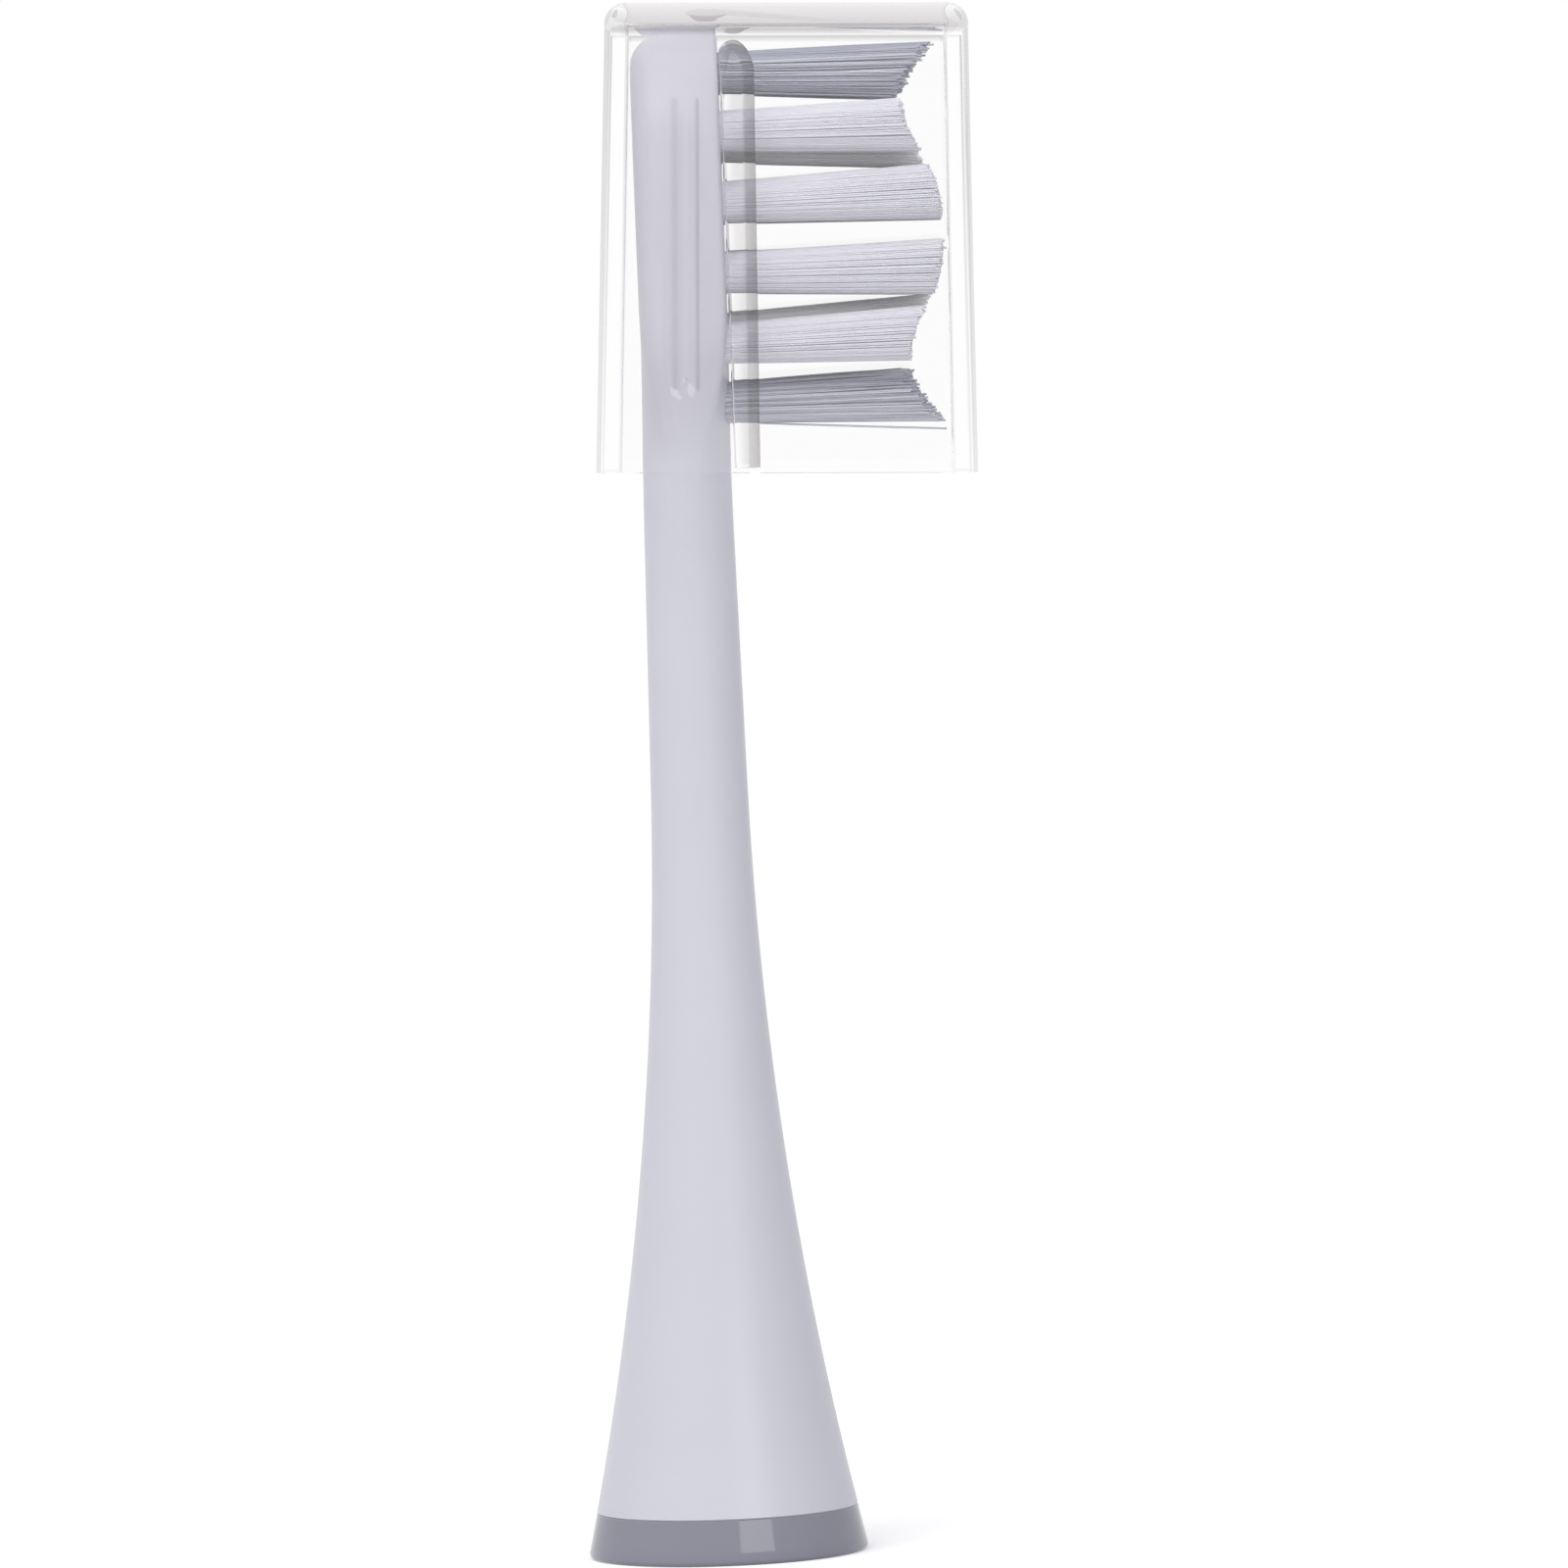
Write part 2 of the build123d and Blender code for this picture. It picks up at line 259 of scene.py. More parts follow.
plate_shoulder = plate_top - plate_half
draft_scale = 1 - (plate_front - plate_back) * tan(plate_draft) / plate_half
bpy.ops.mesh.primitive_circle_add(
    vertices=arch_steps,
    radius=plate_half,
    location=(plate_front, 0, plate_shoulder),
    rotation=(0, pi / 2, 0),
)
pick(brush_body, "VERT", lambda point: blend_top < point.co.z < plate_shoulder - TINY)
bpy.ops.mesh.delete(type="VERT")
pick(brush_body, "VERT", flat_at(2, plate_shoulder))
bpy.ops.mesh.extrude_region_move(TRANSFORM_OT_translate={"value": (0, 0, blend_top - plate_shoulder)})
pick(brush_body, "VERT", lambda point: point.co.z > blend_top - TINY)
bpy.ops.mesh.edge_face_add()
bpy.ops.mesh.extrude_region_move(TRANSFORM_OT_translate={"value": (plate_back - plate_front, 0, 0)})
at_back = flat_at(0, plate_back)
at_front = flat_at(0, plate_front)
at_foot = flat_at(2, blend_top)
pick(brush_body, "VERT", lambda point: at_back(point) and point.co.z > plate_shoulder - TINY)
bpy.ops.transform.resize(value=(1, draft_scale, draft_scale), center_override=(plate_back, 0, plate_shoulder))
pick(brush_body, "VERT", lambda point: at_back(point) and at_foot(point))
bpy.ops.transform.resize(value=(1, draft_scale, 1), center_override=(plate_back, 0, blend_top))
pick(brush_body, "EDGE", lambda edge: at_back(edge) and not at_foot(edge))
bpy.ops.mesh.bevel(offset=back_round, segments=back_steps, affect="EDGES")
pick(brush_body, "EDGE", lambda edge: at_front(edge) and not at_foot(edge))
bpy.ops.mesh.bevel(offset=front_round, segments=front_steps, affect="EDGES")
pick(brush_body, "FACE", at_foot)
bpy.ops.mesh.delete(type="ONLY_FACE")
print("plate top in mm:", round(plate_top / mm, 2))

# %% [markdown]
# Between neck and plate the moulding widens. The plate's open foot is cut into as many edges
# as the neck's ring has, and the two loops are bridged with a smooth surface, which leaves
# both forms in their own direction.

# %% Blend between neck and plate
blend_cuts = 12
corner_edges = 2 * (back_steps + front_steps) + 2
face_cuts = (ROUND_STEPS - corner_edges) // 2 - 1
for at_face in (at_front, at_back):
    pick(brush_body, "EDGE", lambda edge: at_face(edge) and at_foot(edge))
    bpy.ops.mesh.subdivide(number_cuts=face_cuts)
at_neck = flat_at(2, neck_top)
loops = pick(brush_body, "EDGE", lambda edge: at_neck(edge) or at_foot(edge))
bpy.ops.mesh.bridge_edge_loops(number_cuts=blend_cuts, interpolation="SURFACE", smoothness=1.0)
close_mesh(brush_body)
print("edges in the two loops:", loops)

# %% [markdown]
# Each tuft is set in a blind hole. The holes are drilled by one boolean with a set of round
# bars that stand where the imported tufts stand, so the frame alone says where they go.

# %% Holes for the tufts
hole_radius = 1.12 * mm
hole_depth = 3 * mm
hole_sides = 24
tuft_nodes = sorted(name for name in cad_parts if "_tuft_" in name)


def tuft_root(name):
    """Middle of a packed tuft's root face."""
    points = np.array([vertex.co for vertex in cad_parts[name].data.vertices])
    root = points[points[:, 0] < points[:, 0].min() + TINY]
    return Vector((root.min(axis=0) + root.max(axis=0)) / 2)


start_piece()
drills = []
for name in tuft_nodes:
    root = tuft_root(name)
    bpy.ops.mesh.primitive_cylinder_add(
        vertices=hole_sides,
        radius=hole_radius,
        depth=2 * hole_depth,
        location=(plate_front, root.y, root.z),
        rotation=(0, pi / 2, 0),
    )
    drills.append(bpy.context.object)
for drill in drills:
    drill.select_set(True)
bpy.context.view_layer.objects.active = drills[0]
bpy.ops.object.join()
drill = bpy.context.object
apply_modifier(brush_body, "BOOLEAN", object=drill, operation="DIFFERENCE", solver="EXACT")
bpy.data.objects.remove(drill)
settle(brush_body, 35)
print("holes:", len(tuft_nodes))

# %% [markdown]
# The grey ring is turned as well: up the outside with a small round at the foot, over the step
# to the spigot that holds it in the skirt, and down through the bore for the handle.

# %% Base ring
ring_round = 0.3 * mm
ring_round_steps = 5
ring_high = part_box("base_ring")[1].z
ring_bore = 4.85 * mm
spigot_radius = 5.75 * mm

quarter = np.linspace(0, pi / 2, ring_round_steps)
foot_outline = [
    (form_radius(ring_round) - ring_round * (1 - sin(angle)), ring_round * (1 - cos(angle)))
    for angle in quarter
]
wall_levels = np.linspace(ring_round, ring_top - foot_round, 5)[1:]
ring_outline = [
    (ring_bore, 0),
    *foot_outline,
    *[(form_radius(level), float(level)) for level in wall_levels],
    (form_radius(ring_top) - foot_round, ring_top),
    (spigot_radius, ring_top),
    (spigot_radius, ring_high),
    (ring_bore, ring_high),
    (ring_bore, 0),
]
base_ring = turn("grey_base_ring", ring_outline)
close_mesh(base_ring)
settle(base_ring, 35)

# %% [markdown]
# The clear cap is a drafted box that is open below. A cube is drawn to size, its top is made
# smaller, and its underside is inset by the wall and pushed up to hollow it out. The edges around
# the top get a full round and the upright and inner ones a smaller one, so each edge carries a
# bevel weight and one bevel rounds them all. Then the cap leans on the brush.

# %% Travel cap shell
cap_height = 25.76 * mm
cap_wall = 1.22 * mm
cap_top_wall = 1.27 * mm
cap_width = 20.9 * mm
cap_depth = 16.6 * mm
cap_draft = tan(radians(1.2))
cap_lean = radians(2.1)
cap_round = 1.87 * mm
cap_end_round = 1.15 * mm
cap_side_round = 0.35 * mm
cap_ceiling_round = 0.25 * mm
cap_inner_round = 0.2 * mm
cap_middle = 5.54 * mm
cap_rim = 59.8 * mm
rim_round = 0.06 * mm
inner_height = cap_height - cap_top_wall


def draft_scales(height):
    """Scales across and along for a face that rises by a height inside the draft."""
    return 1 - 2 * height * cap_draft / cap_width, 1 - 2 * height * cap_draft / cap_depth, 1


start_piece()
bpy.ops.mesh.primitive_cube_add(size=1)
travel_cap = bpy.context.object
travel_cap.name = "clear_travel_cap"
bpy.ops.object.mode_set(mode="EDIT")
bpy.ops.mesh.select_all(action="SELECT")
bpy.ops.transform.resize(value=(cap_width, cap_depth, cap_height), center_override=(0, 0, 0))
bpy.ops.transform.translate(value=(0, 0, cap_height / 2))
pick(travel_cap, "FACE", flat_at(2, cap_height))
bpy.ops.transform.resize(value=draft_scales(cap_height), center_override=(0, 0, cap_height))
pick(travel_cap, "FACE", flat_at(2, 0))
bpy.ops.mesh.inset(thickness=cap_wall)
bpy.ops.mesh.extrude_region_move(TRANSFORM_OT_translate={"value": (0, 0, inner_height)})
bpy.ops.transform.resize(value=draft_scales(inner_height), center_override=(0, 0, inner_height))
cap_edge_steps = 10


def rises(low, high):
    """A test for edges that run from one height to another."""
    def test(edge):
        first, last = sorted(corner.co.z for corner in edge.verts)
        return abs(first - low) < TINY and abs(last - high) < TINY
    return test


def on_top_end(edge):
    """True for the edges around the top that lie wholly at the front or at the rear."""
    return flat_at(2, cap_height)(edge) and edge.verts[0].co.x * edge.verts[1].co.x > 0


def on_rim_corner(edge):
    """True for the edges where the rim meets a wall."""
    return flat_at(2, 0)(edge) and any(abs(face.normal.z) < 0.5 for face in edge.link_faces)


edge_rounds = [
    (rises(cap_height, cap_height), cap_round),
    (on_top_end, cap_end_round),
    (rises(0, cap_height), cap_side_round),
    (rises(inner_height, inner_height), cap_ceiling_round),
    (rises(0, inner_height), cap_inner_round),
]
for test, size in edge_rounds:
    pick(travel_cap, "EDGE", test)
    bpy.ops.transform.edge_bevelweight(value=-1)
    bpy.ops.transform.edge_bevelweight(value=size / cap_round)
bpy.ops.object.mode_set(mode="OBJECT")
apply_modifier(
    travel_cap,
    "BEVEL",
    limit_method="WEIGHT",
    width=cap_round,
    segments=cap_edge_steps,
    use_clamp_overlap=False,
)
bpy.ops.object.mode_set(mode="EDIT")
pick(travel_cap, "EDGE", on_rim_corner)
bpy.ops.mesh.bevel(offset=rim_round, segments=2, affect="EDGES")
close_mesh(travel_cap)
travel_cap.rotation_euler.y = cap_lean
travel_cap.location = (cap_middle, 0, cap_rim)
settle(travel_cap, 30)

# %% [markdown]
# Inside each side wall stands a rail in front of the plate, which guides the cap past the tufts,
# and a slim rib that grips the plate's side. A rail is a cube drawn out over the height of the
# cap. Its front side is tilted and its inner edge is rounded. Then planes cut a slanting flank along
# it, which carries a darker band of painted shade in front of the tufts and runs on round the arch at the
# upper end.

# %% Guide rails of the cap
rail_face = plate_front + 0.1 * mm
rail_inner = 5.7 * mm
rail_outer = 7.4 * mm
rail_width_rim = 1.4 * mm
rail_width_top = 1.95 * mm
rail_start = cap_rim + 0.35 * mm
rail_end = plate_top - 0.75 * mm
rail_round = 0.2 * mm
flank_width = 0.6 * mm
flank_slant = radians(8)
flank_edge = 0.1 * mm
edge_slant = radians(3)
arch_sides = [(1.15 * mm, 2.2 * mm), (-0.8 * mm, 0.7 * mm)]
arch_angles = np.radians([10, 25, 40, 55, 70, 82])
flank_steps = [(flank_width + flank_edge, edge_slant), (flank_width, flank_slant)]


def rail(side):
    """One rail on the side wall towards +Y or -Y."""
    start_piece()
    bpy.ops.mesh.primitive_cube_add(size=1)
    piece = bpy.context.object
    bpy.ops.object.mode_set(mode="EDIT")
    bpy.ops.mesh.select_all(action="SELECT")
    size = (rail_width_rim, rail_outer - rail_inner, rail_end - rail_start)
    bpy.ops.transform.resize(value=size, center_override=(0, 0, 0))
    across = side * (rail_outer + rail_inner) / 2
    middle = (rail_end + rail_start) / 2
    bpy.ops.transform.translate(value=(rail_face + rail_width_rim / 2, across, middle))
    at_flank = flat_at(0, rail_face + rail_width_rim)
    pick(piece, "VERT", lambda point: at_flank(point) and flat_at(2, rail_end)(point))
    bpy.ops.transform.translate(value=(rail_width_top - rail_width_rim, 0, 0))
    at_inner = flat_at(1, side * rail_inner)
    pick(piece, "EDGE", lambda edge: at_inner(edge) and flat_at(0, rail_face)(edge))
    bpy.ops.mesh.bevel(offset=rail_round, segments=3, affect="EDGES")
    flank_lean = (rail_width_top - rail_width_rim) / (rail_end - rail_start)
    front_foot = Vector((rail_face + rail_width_rim, side * rail_inner, rail_start))
    outlines = [(front_foot, Vector((1, 0, -flank_lean)))]
    arch_top = Vector((rail_face + rail_width_top - arch_sides[0][0], side * rail_inner, rail_end))
    for (reach, rise), angle in product(arch_sides, arch_angles):
        touch = arch_top + Vector((reach * cos(angle), 0, rise * (sin(angle) - 1)))
        outlines.append((touch, Vector((cos(angle) / reach, 0, sin(angle) / rise)).normalized()))
    cuts = outlines[1:]
    for (touch, facing), (inset, slant) in product(outlines, flank_steps):
        slanted = facing * sin(slant) - Vector((0, side * cos(slant), 0))
        cuts.append((touch - facing * inset, slanted))
    for place, normal in cuts:
        bpy.ops.mesh.select_all(action="SELECT")
        bpy.ops.mesh.bisect(
            plane_co=place,
            plane_no=normal,
            use_fill=True,
            clear_outer=True,
            threshold=TINY / 20,
        )
    close_mesh(piece)
    return piece


# %% [markdown]
# A rib is a long soft bead on the wall. It starts as a fine grid, and the middle line is drawn inwards
# with proportional editing, so that the foot runs out smoothly and bends the view only a little. The
# front half is drawn narrower, because that flank of the bead is the steeper one.

# %% Grip ribs of the cap
rib_reach = 1.15 * mm
rib_front = 0.85
rib_height = 0.45 * mm
rib_length = 16 * mm
rib_place = 0.5 * mm
rib_middle = 12.6 * mm
rib_sink = 0.02 * mm
rib_back = 0.4 * mm
side_wall = cap_depth / 2 - cap_wall
side_slope = side_wall * 2 * cap_draft / cap_depth


def rib(side):
    """One rib on the side wall towards +Y or -Y, leaning as the cap does."""
    start_piece()
    bpy.ops.mesh.primitive_grid_add(x_subdivisions=26, y_subdivisions=80, size=1)
    piece = bpy.context.object
    bpy.ops.object.mode_set(mode="EDIT")
    bpy.ops.mesh.select_all(action="SELECT")
    line = rib_length - rib_reach
    bpy.ops.transform.resize(value=(2.1 * rib_reach, line + 2.1 * rib_reach, 1), center_override=(0, 0, 0))
    pick(piece, "VERT", lambda point: abs(point.co.x) < TINY and abs(point.co.y) < line / 2)
    bpy.ops.transform.translate(
        value=(0, 0, rib_height),
        use_proportional_edit=True,
        proportional_edit_falloff="SMOOTH",
        proportional_size=rib_reach,
    )
    bpy.ops.mesh.select_all(action="SELECT")
    bpy.ops.mesh.vertices_smooth(factor=0.5, repeat=4)
    pick(piece, "VERT", lambda point: point.co.x > TINY)
    bpy.ops.transform.resize(value=(rib_front, 1, 1), center_override=(0, 0, 0))
    bpy.ops.mesh.select_all(action="SELECT")
    bpy.ops.mesh.extrude_region_move(TRANSFORM_OT_translate={"value": (0, 0, -rib_back)})
    close_mesh(piece)
    piece.rotation_euler = (side * (pi / 2 + side_slope), cap_lean, 0)
    wall_place = side_wall - rib_middle * side_slope + rib_sink
    piece.location = (rib_place, side * wall_place, cap_rim + rib_middle)
    return piece


# %% [markdown]
# A small dish on the top is where the plastic was let into the mould. A ball is sunk into the top,
# and booleans add the rails and ribs to the cap and take the dish away. The broad walls are shaded
# flat and only their rounded edges smooth, because in a clear piece a bent normal bends the view.

# %% Cap with rails, ribs and dish
dish_radius = 1.3 * mm
dish_depth = 0.45 * mm
dish_place = plate_front - 0.47 * mm
dish_ball = (dish_radius**2 + dish_depth**2) / (2 * dish_depth)
broad_area = 9 * mm**2

inner_pieces = [make(side) for make in (rail, rib) for side in (-1, 1)]
start_piece()
for piece in inner_pieces:
    piece.select_set(True)
bpy.context.view_layer.objects.active = inner_pieces[0]
bpy.ops.object.join()
inner_set = bpy.context.object
apply_modifier(travel_cap, "BOOLEAN", object=inner_set, operation="UNION", solver="EXACT")
bpy.data.objects.remove(inner_set)

start_piece()
dish_level = cap_rim + cap_height / cos(cap_lean) - (dish_place - cap_middle) * tan(cap_lean)
bpy.ops.mesh.primitive_uv_sphere_add(
    segments=64,
    ring_count=65,
    radius=dish_ball,
    location=(dish_place, 0, dish_level - dish_depth + dish_ball),
)
ball = bpy.context.object
apply_modifier(travel_cap, "BOOLEAN", object=ball, operation="DIFFERENCE", solver="EXACT")
bpy.data.objects.remove(ball)
settle(travel_cap, 30)
bpy.ops.object.mode_set(mode="EDIT")
broad = pick(travel_cap, "FACE", lambda face: face.calc_area() > broad_area)
bpy.ops.mesh.faces_shade_flat()
bpy.ops.object.mode_set(mode="OBJECT")
print("dish level in mm:", round(dish_level / mm, 2), "flat faces:", broad)

# %% [markdown]
# Clear plastic looks darker where it turns: light leaves sideways at the upright corners, under the
# round of the top and along the rails' bands. A rib gathers the light in its middle and leaves its flanks
# in shade, and the dish shows as a darker spot. Lamps pass the cap as a film here, so the renderer doesn't
# find these shades, and they are painted into the cap's colour as painted shade. Every point notes its own
# as an attribute, measured with the cap set upright.

# %% Shades of the clear edges
# Painted shade, from 0 for clear to 1 for darkest, for each kind of place on the cap.
dish_shade = 0.22
top_shade = 0.18
under_shade = 0.82
corner_shade = 0.28
rail_shade = 0.25
band_shade = 0.72
flank_shade = 0.9
rib_dark = 0.58
rib_faint = 0.29
rib_flank = 0.62 * mm
front_flank = 0.1 * mm
rear_flank = 0.2 * mm
dish_share = 0.97
slight_turn = 0.1
clear_turn = 0.25
end_turn = 0.3
flank_depth = flank_edge * tan(edge_slant) + flank_width * tan(flank_slant)
upright = Quaternion((0, 1, 0), -cap_lean)
rib_line = (upright @ Vector((rib_place - cap_middle, 0, rib_middle))).x


def edge_shade(vertex):
    """How dark the clear cap looks at one of its points, from 0 to 1."""
    place = upright @ (vertex.co - Vector((cap_middle, 0, cap_rim)))
    facing = upright @ vertex.normal
    from_dish = (vertex.co.xy - Vector((dish_place, 0))).length
    if place.z > cap_height - 2 * dish_depth and from_dish < dish_share * dish_radius:
        return dish_shade
    outward_y = facing.y if place.y > 0 else -facing.y
    outward_x = facing.x if place.x > 0 else -facing.x
    if min(outward_y, facing.z) > slight_turn and abs(facing.x) < end_turn:
        return under_shade + (top_shade - under_shade) * facing.z
    if min(outward_x, outward_y) > clear_turn:
        return corner_shade
    behind = abs(vertex.co.y) - rail_inner
    if vertex.co.x > rail_face + 2 * rail_round and behind < flank_depth + TINY:
        return rail_shade if behind < TINY else band_shade + (flank_shade - band_shade) * behind / flank_depth
    raised = side_wall - place.z * side_slope - abs(place.y)
    across = place.x - rib_line
    beside = abs(across) > rib_reach or abs(place.z - rib_middle) > rib_length / 2
    if beside or not TINY < raised < rib_height:
        return 0
    front = rib_dark * exp(-(((across - rib_flank) / front_flank) ** 2))
    return front + rib_faint * exp(-(((across + rib_flank) / rear_flank) ** 2))


shades = np.array([edge_shade(vertex) for vertex in travel_cap.data.vertices], dtype=np.float32)
shade_layer = travel_cap.data.attributes.new("edge_shade", "FLOAT", "POINT")
shade_layer.data.foreach_set("value", shades)
print("shaded points:", int(np.count_nonzero(shades)), "deepest:", round(float(shades.max()), 2))

# %% [markdown]
# A tuft is a bundle of fine nylon filaments. Hair particles are not used, and an operator for each of
# thousands of filaments would take minutes. So one filament is modelled as a six-sided bar with a
# rounded tip, and its mesh is copied once for each place in the bundle.

# %% One filament
strand_sides = 6
strand_cuts = 2
strand_tip = 0.35

start_piece()
bpy.ops.mesh.primitive_cylinder_add(vertices=strand_sides, radius=1, depth=1, location=(0, 0, 0.5))
strand = bpy.context.object
bpy.ops.object.transform_apply(location=True)
bpy.ops.object.mode_set(mode="EDIT")
pick(strand, "FACE", flat_at(2, 0))
bpy.ops.mesh.delete(type="ONLY_FACE")
for cut in range(1, strand_cuts + 1):
    bpy.ops.mesh.select_all(action="SELECT")
    bpy.ops.mesh.bisect(plane_co=(0, 0, cut / (strand_cuts + 1)), plane_no=(0, 0, 1))
pick(strand, "FACE", flat_at(2, 1))
bpy.ops.mesh.inset(thickness=strand_tip)
bpy.ops.object.mode_set(mode="OBJECT")
strand_points = np.array([vertex.co for vertex in strand.data.vertices])
strand_faces = [tuple(face.vertices) for face in strand.data.polygons]
bpy.data.objects.remove(strand)
print("points and faces of a filament:", len(strand_points), len(strand_faces))

# %% [markdown]
# The bundle stands in close rings. Each filament runs from its seat in the hole to the waved trim,
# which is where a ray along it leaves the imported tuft. A seeded generator bends every filament a little
# and cuts it a little short or long, as the trimming blade does. The tufts don't stand quite alike:
# each row, counted from the tip, stands a little higher or lower and nods by its own small angle.

# %% Bundles of filaments
strand_radius = 0.055 * mm
strand_rings = 12
seat_jitter = 0.01 * mm
strand_wander = {"edge": 0.008 * mm, "centre": 0.015 * mm, "end": 0.035 * mm}
seat_sink = 1.2 * mm
splay = tan(radians(2.1))
side_splay = tan(radians(0.8))
row_stands = [(0, -1.4), (0, 0), (0, 0.9), (0, -0.4), (0, 0.9), (0, 0.3)]
centre_stands = [(-0.12, -1.6), (0, 1.9), (0, -1.3), (0.12, 1.3)]
centre_squeeze = 0.88
trim_short = 0.12 * mm
stray_share = {"edge": 0.004, "centre": 0, "end": 0.04}
stray_slope = tan(radians(0.8))
heel_droop = tan(radians(2.2))
# The centre tufts take tones near the top of the grey ramp: painted light for what would reach them through
# the outer tufts' translucent nylon.
tones = {"edge": (0.1, 0.9), "centre": (0.9, 1), "end": (0.05, 0.54)}
ragged = {"edge": 0.08 * mm, "centre": 0.08 * mm, "end": 0.18 * mm}
tip_slants = {"edge": 0, "centre": 0, "end": 0.28 * mm}
generator = np.random.RandomState(11)


def seats():
    """Places of the filaments across the hole, in rings around its middle."""
    reach = hole_radius - strand_radius
    places = [(0, 0)]
    for ring in range(1, strand_rings + 1):
        radius = reach * ring / strand_rings
        for angle in np.linspace(ring, ring + 2 * pi, 6 * ring, endpoint=False):
            places.append((radius * cos(angle), radius * sin(angle)))
    return np.array(places)


def row_stand(name):
    """Height in metres and slope by which the tufts of one row stand off their holes' axes."""
    inner = name.startswith("centre")
    kin = [tuft_root(other).z for other in tuft_nodes if other.startswith("centre") == inner]
    stands = centre_stands if inner else row_stands
    levels = np.linspace(max(kin), min(kin), len(stands))
    lift, nod = stands[int(np.argmin(abs(levels - tuft_root(name).z)))]
    return lift * mm, tan(radians(nod))


heel_tuft = min(tuft_nodes, key=lambda name: tuft_root(name).z + tuft_root(name).y)


def tuft_strands(name):
    """Roots and tips of one tuft's filaments."""
    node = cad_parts[name]
    root = tuft_root(name)
    lift, nod = row_stand(name)
    kind = name.split("_")[0]
    squeeze = centre_squeeze if kind == "centre" else 1
    outward = 1 if root.z > tuft_root("edge_tuft_1").z else -1
    places = seats()
    lowest = places[:, 1].argmin()
    starts, ends = [], []
    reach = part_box(name)[1].x - plate_front
    for number, (across, along) in enumerate(places):
        rise = Vector((plate_front, root.y + across, root.z + along))
        share = Vector((across, along)) / hole_radius
        stray = generator.normal(0, stray_slope) * (generator.uniform() < stray_share[kind])
        if name == heel_tuft and number == lowest:
            stray = -heel_droop
        found, spot, _, _ = node.ray_cast(rise, Vector((1, 0, share.y * splay)))
        length = (spot - rise).length if found else reach
        length += tip_slants[kind] * outward * share.y
        heading = Vector((1, share.x * side_splay, share.y * splay + nod + stray)).normalized()
        rise.z = root.z + along * squeeze + lift
        rise += Vector((0, *generator.normal(0, seat_jitter, 2)))
        end = rise + heading * (length - trim_short + generator.normal(0, ragged[kind]))
        end += Vector((0, *generator.normal(0, strand_wander[kind], 2)))
        starts.append(rise - heading * seat_sink)
        ends.append(end)
    return np.array(starts), np.array(ends)


def bundle(name):
    """One tuft: a filament's mesh, copied to every seat and bent a little on its way."""
    starts, ends = tuft_strands(name)
    count = len(starts)
    run = ends - starts
    level = strand_points[:, 2]
    wander = strand_wander[name.split("_")[0]]
    bend = generator.normal(0, wander, (count, 1, 2)) * (4 * level * (1 - level))[None, :, None]
    points = starts[:, None, :] + run[:, None, :] * level[None, :, None]
    points[:, :, 1:] += strand_points[None, :, :2] * strand_radius + bend
    offsets = np.arange(count) * len(strand_points)
    faces = [tuple(corner + offset for corner in face) for offset in offsets for face in strand_faces]
    mesh = bpy.data.meshes.new(name + "_filaments")
    mesh.from_pydata(points.reshape(-1, 3).tolist(), [], faces)
    mesh.update()
    tone = mesh.attributes.new("strand_tone", "FLOAT", "POINT")
    strand_tones = generator.uniform(*tones[name.split("_")[0]], count)
    tone.data.foreach_set("value", np.repeat(strand_tones, len(strand_points)))
    along = mesh.attributes.new("strand_run", "FLOAT", "POINT")
    along.data.foreach_set("value", np.tile(level, count))
    piece = bpy.data.objects.new(name + "_filaments", mesh)
    bpy.context.scene.collection.objects.link(piece)
    return piece


bundles = {name: bundle(name) for name in tuft_nodes}
for piece in bundles.values():
    start_piece()
    piece.select_set(True)
    bpy.context.view_layer.objects.active = piece
    bpy.ops.object.mode_set(mode="EDIT")
    bpy.ops.mesh.select_all(action="SELECT")
    bpy.ops.mesh.normals_make_consistent(inside=False)
    bpy.ops.object.mode_set(mode="OBJECT")
    bpy.ops.object.shade_smooth_by_angle(angle=radians(65))
faces = sum(len(piece.data.polygons) for piece in bundles.values())
print("filaments in a tuft:", len(seats()), "faces in all:", faces)

# %% [markdown]
# The finishes are procedural, so that they hold at any distance. Moulded plastic is never quite even:
# its colour drifts a little, its gloss has fine grain, and the mould leaves a faint ripple. One helper
# builds that, and the pieces differ by their values.

# %% Moulded plastics
def new_material(name):
    """A material with its node tree, links and Principled node."""
    material = bpy.data.materials.new(name)
    material.use_nodes = True
    tree = material.node_tree
    return material, tree.nodes, tree.links, tree.nodes["Principled BSDF"]


def noise(nodes, links, scale, detail, stretch=(1, 1, 1)):
    """Noise in the piece's own coordinates, with features of about one over the scale in metres."""
    place = nodes.new("ShaderNodeTexCoord")
    mapping = nodes.new("ShaderNodeMapping")
    mapping.inputs["Scale"].default_value = stretch
    texture = nodes.new("ShaderNodeTexNoise")
    texture.inputs["Scale"].default_value = scale
    texture.inputs["Detail"].default_value = detail
    links.new(place.outputs["Object"], mapping.inputs["Vector"])
    links.new(mapping.outputs["Vector"], texture.inputs["Vector"])
    return texture.outputs["Fac"]


def ramp(nodes, links, source, low, high, start=0.3, end=0.7):
    """Colours from low to high as the source goes from start to end."""
    node = nodes.new("ShaderNodeValToRGB")
    node.color_ramp.elements[0].position = start
    node.color_ramp.elements[1].position = end
    node.color_ramp.elements[0].color = (*low, 1)
    node.color_ramp.elements[1].color = (*high, 1)
    links.new(source, node.inputs["Fac"])
    return node.outputs["Color"]


def spread(nodes, links, source, low, high):
    """A number from low to high as the source goes from 0.3 to 0.7."""
    node = nodes.new("ShaderNodeMapRange")
    node.inputs["From Min"].default_value = 0.3
    node.inputs["From Max"].default_value = 0.7
    node.inputs["To Min"].default_value = low
    node.inputs["To Max"].default_value = high
    links.new(source, node.inputs["Value"])
    return node.outputs["Result"]


